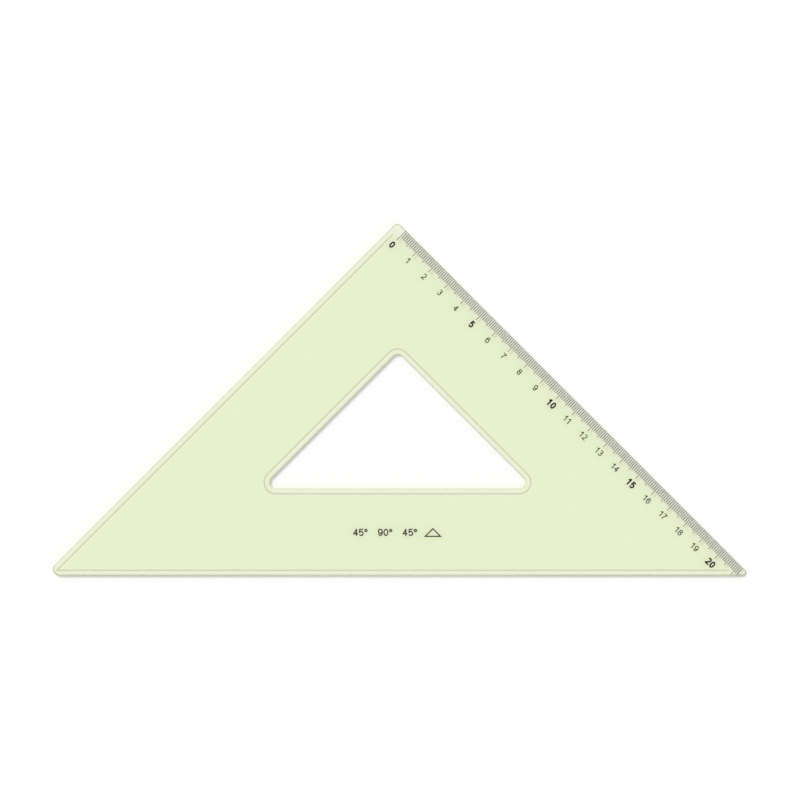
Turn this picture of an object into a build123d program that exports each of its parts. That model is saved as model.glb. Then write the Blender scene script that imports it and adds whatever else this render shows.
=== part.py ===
from build123d import *
import os
from math import acos, atan2, degrees, hypot, sqrt

# A 45 degree drafting triangle: one clear moulded plate and the ink that is printed on it.
# Frame: +X along the hypotenuse, +Y towards the right angle, +Z up, in millimetres.
# The origin is on the underside, at the middle of the plate's bounding box.

# Plate
LEG = 222.2  # each leg, between sharp corners
THICKNESS = 2.0
LEG_BAND = 40.7  # solid width between either leg and the cut-out
HYPOTENUSE_BAND = 38.7  # solid width between the hypotenuse and the cut-out
APEX_RADIUS = 2.0  # the square corner
PLAIN_CORNER_RADIUS = 2.8  # the sharp corner at the end of the plain leg
SCALE_CORNER_RADIUS = 1.5  # the sharp corner at the end of the scale
CUTOUT_RADIUS = 2.8  # the corners of the cut-out
EDGE_BREAK = 0.15  # rounding of the plate's upper edges, apart from the bevel's crisp one
UNDERSIDE_ROUND = 0.6  # rounding of the plate's lower edges

# Lowered rim along the plain leg, the hypotenuse and the cut-out
RIM_WIDTH = 2.1  # flat width, up to the foot of the step
RIM_DEPTH = 0.3
STEP_LEAN = 60.0  # degrees that the step's wall leans from upright

# Bevel along the graduated leg
BEVEL_WIDTH = 6.2
EDGE_THICKNESS = 0.85

# Ink
INK_THICKNESS = 0.04
PRINT_MARGIN = 0.25  # bare width that the ink keeps from the plate's outer edge

# Scale along the graduated leg
SCALE_START = 5.44  # from the plain leg's edge to the zero mark
SCALE_END = 4.5  # least distance from the last mark to the sharp corner
MARK_PITCH = 1.0
MARKS_PER_HALF = 5
MARKS_PER_NUMERAL = 10
TICK_WIDTH = 0.23
MILLIMETRE_TICK = 4.0
HALF_TICK = 5.0
CENTIMETRE_TICK = 6.0

# Numerals: every fifth one is larger and bold
NUMERALS_PER_BOLD = 5
NUMERAL_MIDDLE = 8.75  # from the graduated edge to the numerals' middle line
PLAIN_HEIGHT = 2.75
PLAIN_WIDTH = 1.75
PLAIN_STROKE = 0.38
BOLD_HEIGHT = 3.25
BOLD_WIDTH = 2.05
BOLD_STROKE = 0.68
DIGIT_GAP = 0.28  # bare width between two digits of a number

# Digit shapes: shares of the width or height between stroke middles, and angles in degrees
WAIST = 0.53  # height where the two halves of 3 and 8 meet
UPPER_SHARE = 0.9  # width of their upper half against the lower
BOWL = 0.64  # height of the bowl of 5, 6 and 9
HOOK = 155.0  # where the open ends of 2, 3 and 5 stop, from the right
ONE_STEM = 0.66
ONE_FLAG = 0.7
THREE_BAR = 0.35
FOUR_STEM = 0.72
FOUR_BAR = 0.27
FIVE_STEM = 0.14
FIVE_TRIM = 6.0
SIX_HOOK = 28.0
SEVEN_FOOT = 0.28

# Angle numbers and triangle symbol, printed beside the hypotenuse
PRINT_RISE = 19.2  # from the hypotenuse to the print's middle line
ANGLES = ("45", "90", "45")
ANGLE_HEIGHT = 3.2
ANGLE_WIDTH = 2.2
ANGLE_STROKE = 0.5
ANGLE_PITCH = 11.0  # from one angle number to the next
SIGN_RADIUS = 0.5  # the small ring after each number
SYMBOL_GAP = 3.0  # bare width between the last angle number and the symbol
SYMBOL_WIDTH = 8.0
SYMBOL_STROKE = 0.5

# Worked out
ROOT_2 = sqrt(2)
APEX_X = (SCALE_CORNER_RADIUS - PLAIN_CORNER_RADIUS) / ROOT_2  # the rounder corner ends sooner
APEX_LOSS = APEX_RADIUS * (ROOT_2 - 1)  # height that the rounded apex lacks
APEX_Y = (LEG / ROOT_2 + APEX_LOSS) / 2
BASE_Y = APEX_Y - LEG / ROOT_2
RIM_LEVEL = THICKNESS - RIM_DEPTH
BEVEL_DROP = THICKNESS - EDGE_THICKNESS
LAST_MARK = int((LEG - SCALE_START - SCALE_END) / MARK_PITCH)
NUMERAL_PITCH = MARK_PITCH * MARKS_PER_NUMERAL
NUMERAL_FOOT = NUMERAL_MIDDLE + BOLD_HEIGHT / 2
NUMERAL_ROOM = LEG - SCALE_START - NUMERAL_FOOT - RIM_WIDTH * ROOT_2 - BOLD_WIDTH - DIGIT_GAP
LAST_NUMERAL = int(NUMERAL_ROOM / NUMERAL_PITCH)

# The plate and its scale are drawn from the sharp right-angled corner:
# x runs along the graduated leg, y points out of that leg.
SCALE_FRAME = Plane(origin=(APEX_X, APEX_Y, 0), x_dir=(1, -1, 0), z_dir=(0, 0, 1))


def inset_triangle(plain_leg, graduated_leg, hypotenuse):
    """The plate's sharp triangle with each side moved inwards by its own distance."""
    reach = LEG - hypotenuse * ROOT_2
    apex = (plain_leg, -graduated_leg)
    left = (plain_leg, plain_leg - reach)
    right = (reach - graduated_leg, -graduated_leg)
    return Polygon(apex, left, right, align=None)


def plate_outline():
    """The plate seen from above, without its cut-out."""
    outline = inset_triangle(0, 0, 0)
    corners = {(0, 0): APEX_RADIUS, (0, -LEG): PLAIN_CORNER_RADIUS, (LEG, 0): SCALE_CORNER_RADIUS}
    for corner, radius in corners.items():
        outline = fillet(outline.vertices().sort_by_distance(corner)[0], radius)
    return outline


def cutout_outline():
    """The triangular opening seen from above."""
    opening = inset_triangle(LEG_BAND, LEG_BAND, HYPOTENUSE_BAND)
    return fillet(opening.vertices(), CUTOUT_RADIUS)


def make_plate():
    """The moulding: a plate at rim level with rounded edges, its raised middle, and the bevel's cut."""
    opening = cutout_outline()
    lower = extrude(plate_outline() - opening, RIM_LEVEL)
    lower = fillet(lower.faces().sort_by(Axis.Z)[0].edges(), UNDERSIDE_ROUND)
    lower = fillet(lower.faces().sort_by(Axis.Z)[-1].edges(), EDGE_BREAK)
    raised = inset_triangle(RIM_WIDTH, RIM_WIDTH, RIM_WIDTH) - offset(opening, RIM_WIDTH)
    upper = extrude(Pos(0, 0, RIM_LEVEL) * raised, RIM_DEPTH, taper=STEP_LEAN)
    slope = Plane(origin=(0, -BEVEL_WIDTH, THICKNESS), x_dir=(1, 0, 0), z_dir=(0, BEVEL_DROP, BEVEL_WIDTH))
    above_slope = Box(2 * LEG, 2 * BEVEL_WIDTH, THICKNESS, align=(Align.CENTER, Align.MIN, Align.MIN))
    return lower + upper - slope * above_slope


def ring(middle, x_radius, y_radius, stroke):
    """An elliptical loop of one stroke."""
    outer = Ellipse(x_radius + stroke / 2, y_radius + stroke / 2)
    inner = Ellipse(x_radius - stroke / 2, y_radius - stroke / 2)
    return Pos(*middle) * (outer - inner)


def digit(figure, width, height, stroke):
    """One digit, its lower left corner at the origin, drawn along the middle of its strokes."""
    end = stroke / 2
    w = width - stroke
    h = height - stroke
    mid = w / 2
    waist = WAIST * h
    low = waist / 2
    high = (h - waist) / 2
    bowl = BOWL * h / 2

    def line(start, finish):
        return trace(Line(start, finish), stroke)

    def arc(y_middle, x_radius, y_radius, start, size):
        return EllipticalCenterArc((mid, y_middle), x_radius, y_radius, start, arc_size=size)

    if figure == "0":
        strokes = [ring((mid, h / 2), mid, h / 2, stroke)]
    elif figure == "1":
        stem = ONE_STEM * w
        strokes = [line((stem, -end), (stem, h + end)), line((0, ONE_FLAG * h), (stem, h))]
    elif figure == "2":
        top = h - mid
        foot = degrees(acos(mid / hypot(mid, top)) - atan2(top, -mid))
        curve = arc(top, mid, mid, foot, HOOK - foot)
        strokes = [trace(curve, stroke), line(curve @ 0, (0, 0)), line((-end, 0), (w + end, 0))]
    elif figure == "3":
        lower = arc(low, mid, low, -HOOK, HOOK + 90)
        upper = arc(h - high, UPPER_SHARE * mid, high, -90, HOOK + 90)
        strokes = [trace(lower, stroke), trace(upper, stroke), line((THREE_BAR * w, waist), (mid, waist))]
    elif figure == "4":
        stem = FOUR_STEM * w
        bar = FOUR_BAR * h
        strokes = [line((stem, -end), (stem, h + end)), line((-end, bar), (w + end, bar))]
        strokes += [line((0, bar), (stem, h))]
    elif figure == "5":
        curve = arc(bowl, mid, bowl, -HOOK, 2 * HOOK - FIVE_TRIM)
        top = (FIVE_STEM * w, h)
        strokes = [trace(curve, stroke), line(curve @ 1, top), line((FIVE_STEM * w - end, h), (w, h))]
        strokes += [Pos(curve @ 1) * Circle(end)]
    elif figure in ("6", "9"):
        curve = arc(h / 2, mid, h / 2, SIX_HOOK, 180 - SIX_HOOK)
        strokes = [ring((mid, bowl), mid, bowl, stroke), trace(curve, stroke), line((0, bowl), (0, h / 2))]
    elif figure == "7":
        slant = TangentArc((SEVEN_FOOT * w, -end), (w, h), tangent=(0, 1))
        strokes = [trace(slant, stroke), line((-end, h), (w + end, h))]
    elif figure == "8":
        strokes = [ring((mid, low), mid, low, stroke)]
        strokes += [ring((mid, h - high), UPPER_SHARE * mid, high, stroke)]
    shape = Pos(end, end) * (Sketch() + strokes)
    if figure == "9":
        shape = Pos(width, height) * Rot(0, 0, 180) * shape
    return shape


def number(text, width, height, stroke):
    """A row of digits, centred on the origin."""
    advance = width + DIGIT_GAP
    row_width = len(text) * advance - DIGIT_GAP
    digits = [Pos(i * advance, 0) * digit(text[i], width, height, stroke) for i in range(len(text))]
    return Pos(-row_width / 2, -height / 2) * (Sketch() + digits)


def ticks(marks, length):
    """The scale's bars at these marks, each from the graduated edge inwards."""
    bar = Rectangle(TICK_WIDTH, length, align=(Align.CENTER, Align.MAX))
    return Sketch() + [Pos(SCALE_START + mark * MARK_PITCH, 0) * bar for mark in marks]


def numeral(value):
    """A numeral of the scale, its top towards the graduated edge."""
    if value % NUMERALS_PER_BOLD == 0:
        shape = number(str(value), BOLD_WIDTH, BOLD_HEIGHT, BOLD_STROKE)
    else:
        shape = number(str(value), PLAIN_WIDTH, PLAIN_HEIGHT, PLAIN_STROKE)
    return Pos(SCALE_START + value * NUMERAL_PITCH, -NUMERAL_MIDDLE) * shape


def angle_number(text):
    """An angle in degrees, its left edge at x = 0 and its middle at y = 0."""
    row_width = len(text) * (ANGLE_WIDTH + DIGIT_GAP)
    sign_edge = SIGN_RADIUS + ANGLE_STROKE / 2
    sign_middle = (row_width + sign_edge, ANGLE_HEIGHT / 2 - sign_edge)
    sign = ring(sign_middle, SIGN_RADIUS, SIGN_RADIUS, ANGLE_STROKE)
    digits = number(text, ANGLE_WIDTH, ANGLE_HEIGHT, ANGLE_STROKE)
    return Pos((row_width - DIGIT_GAP) / 2, 0) * digits + sign


def symbol():
    """A plain right-angled triangle outline, its left corner at x = 0 and its middle at y = 0."""
    half = SYMBOL_WIDTH / 2
    outer = Polygon((0, -half / 2), (SYMBOL_WIDTH, -half / 2), (half, half / 2), align=None)
    return outer - offset(outer, -SYMBOL_STROKE, kind=Kind.INTERSECTION)


def make_mask(plate):
    """The space round the plate, apart from a thin sheet on its upper side where ink can lie."""
    area = offset(plate_outline(), -PRINT_MARGIN) - offset(cutout_outline(), PRINT_MARGIN)
    lifted = Pos(0, 0, INK_THICKNESS) * plate
    covered = extrude(area, 2 * THICKNESS) & lifted
    sheet = covered - plate
    return Box(4 * LEG, 4 * LEG, 8 * THICKNESS) - sheet


def printed(marks, mask):
    """The ink that these marks leave on the plate, whose upper side it follows."""
    return extrude(marks, 2 * THICKNESS) - mask


def scale_marks():
    """The sketches of the scale's bars, by node."""
    every = range(LAST_MARK + 1)
    short = [mark for mark in every if mark % MARKS_PER_HALF]
    middle = [mark for mark in every if mark % MARKS_PER_HALF == 0 and mark % MARKS_PER_NUMERAL]
    long = [mark for mark in every if mark % MARKS_PER_NUMERAL == 0]
    return {
        "millimetre_ticks": ticks(short, MILLIMETRE_TICK),
        "half_centimetre_ticks": ticks(middle, HALF_TICK),
        "centimetre_ticks": ticks(long, CENTIMETRE_TICK),
    }


def print_row():
    """The sketches of the angle numbers and the symbol in one row below the apex, by node."""
    angles = [angle_number(text) for text in ANGLES]
    symbol_x = (len(angles) - 1) * ANGLE_PITCH + angles[-1].bounding_box().max.X + SYMBOL_GAP
    start = Pos(APEX_X - (symbol_x + SYMBOL_WIDTH) / 2, BASE_Y + PRINT_RISE)
    spaced = [Pos(i * ANGLE_PITCH, 0) * angle for i, angle in enumerate(angles)]
    return {
        "angle_print": start * (Sketch() + spaced),
        "triangle_symbol": start * Pos(symbol_x, 0) * symbol(),
    }


body = make_plate()
mask = SCALE_FRAME * make_mask(body)

marks = {node: SCALE_FRAME * sketch for node, sketch in scale_marks().items()}
for value in range(LAST_NUMERAL + 1):
    marks[f"numeral_{value}"] = SCALE_FRAME * numeral(value)
marks.update(print_row())

os.makedirs("parts", exist_ok=True)
export_step(SCALE_FRAME * body, "parts/plate.step")
for node, sketch in marks.items():
    export_step(printed(sketch, mask), f"parts/{node}.step")
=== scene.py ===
import math
import bpy
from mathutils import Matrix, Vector


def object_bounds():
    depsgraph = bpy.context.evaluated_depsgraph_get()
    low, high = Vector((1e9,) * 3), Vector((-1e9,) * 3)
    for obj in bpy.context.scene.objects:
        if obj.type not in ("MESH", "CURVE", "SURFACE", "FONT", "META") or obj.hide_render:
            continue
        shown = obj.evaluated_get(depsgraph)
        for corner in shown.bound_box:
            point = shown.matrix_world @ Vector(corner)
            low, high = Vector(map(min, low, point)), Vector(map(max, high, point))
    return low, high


# A clear green drafting triangle that lies flat on a white table, seen from straight above.
# Lengths are in metres, apart from those of the lens.

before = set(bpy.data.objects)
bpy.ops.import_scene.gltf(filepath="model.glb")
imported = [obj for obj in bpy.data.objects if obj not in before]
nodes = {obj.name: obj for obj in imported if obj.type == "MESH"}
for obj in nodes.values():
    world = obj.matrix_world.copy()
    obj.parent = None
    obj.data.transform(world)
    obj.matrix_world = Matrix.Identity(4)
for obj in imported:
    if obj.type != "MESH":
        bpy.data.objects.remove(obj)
cad_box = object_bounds()
scene = bpy.context.scene

# Camera
LENS = 85.0  # millimetres
SENSOR = 36.0  # millimetres
VIEW_WIDTH = 0.3555  # table that the picture's width takes in
VIEW_MIDDLE = (0.0002, -0.0001)  # place of the picture's middle on the table
BOUNCES = 40  # light that runs along inside the plate comes out at its edges

# Table and light: the dome and the lamp together show a white table as white
WHITE = (1.0, 1.0, 1.0, 1.0)
TABLE_SIDE = 12.0
TABLE_GAP = 0.0001  # air between the table and the plate's underside
DOME = 0.4  # soft light on the table
DOME_SEEN = 1.0  # the dome as it is seen, straight on or through the plastic
KEY = 0.6  # lamp light on the table
KEY_FROM = (-0.407, 0.462, 0.788)  # direction toward the lamp
KEY_ANGLE = math.radians(30)  # how wide the lamp looks, which softens its shadows

# Plastic, tinted by the height of its surface over the underside, with painted shade on the step's wall
THICKNESS = max(vertex.co.z for vertex in nodes["plate"].data.vertices)
RIM_DEPTH = 0.0003
RIM_CLEARANCE = 0.000002  # keeps the step's painted shade off the rim
FULL_TINT = (0.8608, 0.9234, 0.6326, 1.0)  # where the plate is thickest
STEP_PAINTED_SHADE = (0.46, 0.475, 0.33, 1.0)  # painted shade that darkens the wall between the rim and the thick middle into a dark line
PLASTIC_IOR = 1.5
ABSORBED = (1.4, 0.6, 4.0)  # red, green and blue lost in each metre of plastic
DENSEST = 100.0  # loss in a metre that a black absorption colour would stand for

# Walls and rounded edges of the plastic
WALL_SLOPE = (0.98, 0.81)  # square of the normal's upright part, from a face to a wall
LIT_SPAN = (-0.2, 0.4)  # how far a wall faces the lamp, from the shade to full light
LEVEL = (1.0, 1.0, 0.0)  # takes the upright part out of a direction

# Light that passes straight through a surface of the plastic
FACE_PASS = (0.96, 0.96, 0.96, 1.0)  # a face at no thickness
FULL_PASS = (0.906, 0.934, 0.795, 1.0)  # a face at full thickness
WALL_PASS = (0.36, 0.365, 0.335, 1.0)  # lamp light through a wall in the shade
WALL_SHADE = (0.78, 0.785, 0.7, 1.0)  # soft light that comes out of a wall in the shade
WALL_GLOW = (0.95, 0.96, 0.1, 1.0)  # soft light that comes out of a wall that the lamp reaches

# Moulded surface: slow waves, a faint haze in patches, hairline wear in two directions
WAVES = {"scale": 45.0, "detail": 2.0}
HAZE = {"scale": 120.0, "detail": 4.0}
HAZE_SPAN = (0.35, 0.75)
HAZE_ROUGHNESS = (0.02, 0.06)
ALONG = {"scale": 30.0, "detail": 2.0, "stretch": (1.5, 120.0, 1.0), "turn": 0.5}
ALONG_SPAN = (0.68, 0.74)
ASLANT = {"scale": 30.0, "detail": 2.0, "stretch": (120.0, 1.2, 1.0), "turn": 0.3}
ASLANT_SPAN = (0.7, 0.76)
WEAR_ROUGHNESS = 0.05
WEAR_HEIGHT = -0.02  # against a height of 1 for the waves
WAVE_HEIGHT = 0.00002
WALL_ROUGHNESS = 0.4  # walls are less polished than faces

# Ink
INK_DARK = (0.006, 0.007, 0.004, 1.0)
INK_PALE = (0.012, 0.013, 0.008, 1.0)
INK_GLOSS = 0.1
PATCHES = {"scale": 900.0, "detail": 3.0}
PATCH_SPAN = (0.35, 0.65)
GRAIN = {"scale": 6000.0, "detail": 2.0}
GRAIN_SPAN = (0.3, 0.7)
GRAIN_ROUGHNESS = (0.4, 0.6)
GRAIN_HEIGHT = 0.00001


def feed(tree, source, socket):
    """Links the source to a socket, or sets the socket if the source is a plain value."""
    if isinstance(source, bpy.types.NodeSocket):
        tree.links.new(source, socket)
    else:
        socket.default_value = source


def calc(tree, operation, *values):
    node = tree.nodes.new("ShaderNodeMath")
    node.operation = operation
    for value, socket in zip(values, node.inputs):
        feed(tree, value, socket)
    return node.outputs["Value"]


def vector_calc(tree, operation, *values):
    node = tree.nodes.new("ShaderNodeVectorMath")
    node.operation = operation
    for value, socket in zip(values, node.inputs):
        feed(tree, value, socket)
    return node.outputs["Value" if operation == "DOT_PRODUCT" else "Vector"]


def upright(tree, vector):
    """The Z part of a vector."""
    node = tree.nodes.new("ShaderNodeSeparateXYZ")
    tree.links.new(vector, node.inputs["Vector"])
    return node.outputs["Z"]


def spread(tree, value, span, onto=(0.0, 1.0)):
    """Maps a span of a value smoothly onto another one, and holds it beyond."""
    node = tree.nodes.new("ShaderNodeMapRange")
    node.interpolation_type = "SMOOTHSTEP"
    feed(tree, value, node.inputs["Value"])
    node.inputs["From Min"].default_value, node.inputs["From Max"].default_value = span
    node.inputs["To Min"].default_value, node.inputs["To Max"].default_value = onto
    return node.outputs["Result"]


def blend(tree, factor, first, second):
    node = tree.nodes.new("ShaderNodeMix")
    node.data_type = "RGBA"
    feed(tree, factor, node.inputs["Factor"])
    feed(tree, first, node.inputs["A"])
    feed(tree, second, node.inputs["B"])
    return node.outputs["Result"]


def noise(tree, place, scale, detail, stretch=(1.0, 1.0, 1.0), turn=0.0):
    """Noise over the part's own coordinates, stretched and turned about the upright."""
    mapping = tree.nodes.new("ShaderNodeMapping")
    mapping.inputs["Rotation"].default_value = (0.0, 0.0, turn)
    mapping.inputs["Scale"].default_value = stretch
    tree.links.new(place, mapping.inputs["Vector"])
    node = tree.nodes.new("ShaderNodeTexNoise")
    node.inputs["Scale"].default_value = scale
    node.inputs["Detail"].default_value = detail
    tree.links.new(mapping.outputs["Vector"], node.inputs["Vector"])
    return node.outputs["Fac"]


def bump(tree, height, depth, shader):
    node = tree.nodes.new("ShaderNodeBump")
    node.inputs["Distance"].default_value = depth
    tree.links.new(height, node.inputs["Height"])
    tree.links.new(node.outputs["Normal"], shader.inputs["Normal"])


def new_material(name):
    material = bpy.data.materials.new(name)
    material.use_nodes = True
    return material, material.node_tree.nodes["Principled BSDF"]


def set_render():
    scene.view_settings.view_transform = "Standard"
    scene.cycles.denoising_input_passes = "RGB"  # keeps the fine marks of the scale apart
    scene.cycles.max_bounces = BOUNCES
    scene.cycles.transmission_bounces = BOUNCES
    scene.cycles.glossy_bounces = BOUNCES


def add_camera():
    data = bpy.data.cameras.new("camera")
    data.sensor_width = SENSOR
    data.lens = LENS
    camera = bpy.data.objects.new("camera", data)
    camera.location = (*VIEW_MIDDLE, VIEW_WIDTH * LENS / SENSOR + cad_box[1].z)
    scene.collection.objects.link(camera)
    scene.camera = camera


def add_table():
    half = TABLE_SIDE / 2
    outline = ((-half, -half), (half, -half), (half, half), (-half, half))
    mesh = bpy.data.meshes.new("table")
    mesh.from_pydata([(x, y, -TABLE_GAP) for x, y in outline], [], [(0, 1, 2, 3)])
    table = bpy.data.objects.new("table", mesh)
    scene.collection.objects.link(table)
    material, shader = new_material("white_table")
    shader.inputs["Base Color"].default_value = WHITE
    shader.inputs["Roughness"].default_value = 1.0
    shader.inputs["Specular IOR Level"].default_value = 0.0
    mesh.materials.append(material)


def add_dome():
    world = bpy.data.worlds.new("dome")
    world.use_nodes = True
    world.cycles.sampling_method = "NONE"
    tree = world.node_tree
    background = tree.nodes["Background"]
    background.inputs["Color"].default_value = WHITE
    path = tree.nodes.new("ShaderNodeLightPath").outputs
    mirrored = calc(tree, "MAXIMUM", path["Is Glossy Ray"], path["Is Transmission Ray"])
    seen = calc(tree, "MAXIMUM", path["Is Camera Ray"], mirrored)
    strength = spread(tree, seen, (0.0, 1.0), (DOME, DOME_SEEN))
    tree.links.new(strength, background.inputs["Strength"])
    scene.world = world


def add_lamp():
    """A soft lamp that isn't itself seen in the plastic."""
    data = bpy.data.lights.new("key", "SUN")
    data.energy = KEY * math.pi / KEY_FROM[2]
    data.angle = KEY_ANGLE
    lamp = bpy.data.objects.new("key", data)
    lamp.rotation_mode = "QUATERNION"
    lamp.rotation_quaternion = Vector(KEY_FROM).to_track_quat("Z", "Y")
    lamp.visible_glossy = False
    lamp.visible_transmission = False
    scene.collection.objects.link(lamp)


def moulded_surface(tree, place, wall, shader):
    """Sets the plastic's bump and roughness, which is higher on walls."""
    waves = noise(tree, place, **WAVES)
    haze = spread(tree, noise(tree, place, **HAZE), HAZE_SPAN, HAZE_ROUGHNESS)
    along = spread(tree, noise(tree, place, **ALONG), ALONG_SPAN)
    aslant = spread(tree, noise(tree, place, **ASLANT), ASLANT_SPAN)
    wear = calc(tree, "MAXIMUM", along, aslant)
    worn = calc(tree, "MULTIPLY_ADD", wear, WEAR_ROUGHNESS, haze)
    dull = calc(tree, "MULTIPLY", wall, WALL_ROUGHNESS)
    tree.links.new(calc(tree, "MAXIMUM", worn, dull), shader.inputs["Roughness"])
    bump(tree, calc(tree, "MULTIPLY_ADD", wear, WEAR_HEIGHT, waves), WAVE_HEIGHT, shader)


def tint_and_step_shade(tree, height, share, wall, shader):
    """Sets the plastic's colour, from white at the underside to full green where it is thickest, and
    paints shade on the step's wall.
    """
    above = calc(tree, "GREATER_THAN", height, THICKNESS - RIM_DEPTH + RIM_CLEARANCE)
    step = calc(tree, "MULTIPLY", wall, above)
    face = blend(tree, share, WHITE, FULL_TINT)
    # painted shade: the step's wall is darkened into a dark line
    tree.links.new(blend(tree, step, face, STEP_PAINTED_SHADE), shader.inputs["Base Color"])


def passing_light(tree, geometry, share, wall, path):
    """Lets lamp light and soft light straight through, and holds some back where it enters a wall."""
    level = vector_calc(tree, "MULTIPLY", geometry["True Normal"], LEVEL)
    toward = vector_calc(tree, "DOT_PRODUCT", vector_calc(tree, "NORMALIZE", level), KEY_FROM)
    lit = spread(tree, toward, LIT_SPAN)
    clear = blend(tree, share, FACE_PASS, FULL_PASS)
    hard = blend(tree, lit, WALL_PASS, clear)
    soft = blend(tree, lit, WALL_SHADE, WALL_GLOW)
    edge = blend(tree, path["Is Diffuse Ray"], hard, soft)
    entering = calc(tree, "SUBTRACT", 1.0, geometry["Backfacing"])
    held = calc(tree, "MULTIPLY", entering, wall)
    through = tree.nodes.new("ShaderNodeBsdfTransparent")
    tree.links.new(blend(tree, held, clear, edge), through.inputs["Color"])
    return through.outputs["BSDF"]


def plastic():
    """Clear green plastic: glass to the eye, while lamp light and soft light pass straight through."""
    material, shader = new_material("tinted_plastic")
    tree = material.node_tree
    shader.inputs["Transmission Weight"].default_value = 1.0
    shader.inputs["IOR"].default_value = PLASTIC_IOR
    absorb = tree.nodes.new("ShaderNodeVolumeAbsorption")
    absorb.inputs["Color"].default_value = (*[1 - loss / DENSEST for loss in ABSORBED], 1.0)
    absorb.inputs["Density"].default_value = DENSEST

    place = tree.nodes.new("ShaderNodeTexCoord").outputs["Object"]
    geometry = tree.nodes.new("ShaderNodeNewGeometry").outputs
    path = tree.nodes.new("ShaderNodeLightPath").outputs
    slope = upright(tree, geometry["True Normal"])
    wall = spread(tree, calc(tree, "MULTIPLY", slope, slope), WALL_SLOPE)
    height = upright(tree, place)
    share = calc(tree, "DIVIDE", height, THICKNESS)
    moulded_surface(tree, place, wall, shader)
    tint_and_step_shade(tree, height, share, wall, shader)

    mix = tree.nodes.new("ShaderNodeMixShader")
    lamp_ray = calc(tree, "MAXIMUM", path["Is Shadow Ray"], path["Is Diffuse Ray"])
    tree.links.new(lamp_ray, mix.inputs["Fac"])
    tree.links.new(shader.outputs["BSDF"], mix.inputs[1])
    tree.links.new(passing_light(tree, geometry, share, wall, path), mix.inputs[2])
    output = tree.nodes["Material Output"]
    tree.links.new(mix.outputs["Shader"], output.inputs["Surface"])
    tree.links.new(absorb.outputs["Volume"], output.inputs["Volume"])
    return material


def ink():
    """Black ink with a slightly uneven, grainy film."""
    material, shader = new_material("black_ink")
    tree = material.node_tree
    shader.inputs["Specular IOR Level"].default_value = INK_GLOSS
    place = tree.nodes.new("ShaderNodeTexCoord").outputs["Object"]
    patches = spread(tree, noise(tree, place, **PATCHES), PATCH_SPAN)
    tree.links.new(blend(tree, patches, INK_DARK, INK_PALE), shader.inputs["Base Color"])
    grain = noise(tree, place, **GRAIN)
    tree.links.new(spread(tree, grain, GRAIN_SPAN, GRAIN_ROUGHNESS), shader.inputs["Roughness"])
    bump(tree, grain, GRAIN_HEIGHT, shader)
    return material


def dress():
    """Gives each node its material. Of the print, only the scale's marks cast a shadow on the table."""
    plate_material = plastic()
    ink_material = ink()
    for name, node in nodes.items():
        node.data.materials.clear()
        node.data.materials.append(plate_material if name == "plate" else ink_material)
        node.visible_shadow = name == "plate" or name.endswith("_ticks")


set_render()
add_camera()
add_table()
add_dome()
add_lamp()
dress()

bpy.context.view_layer.update()
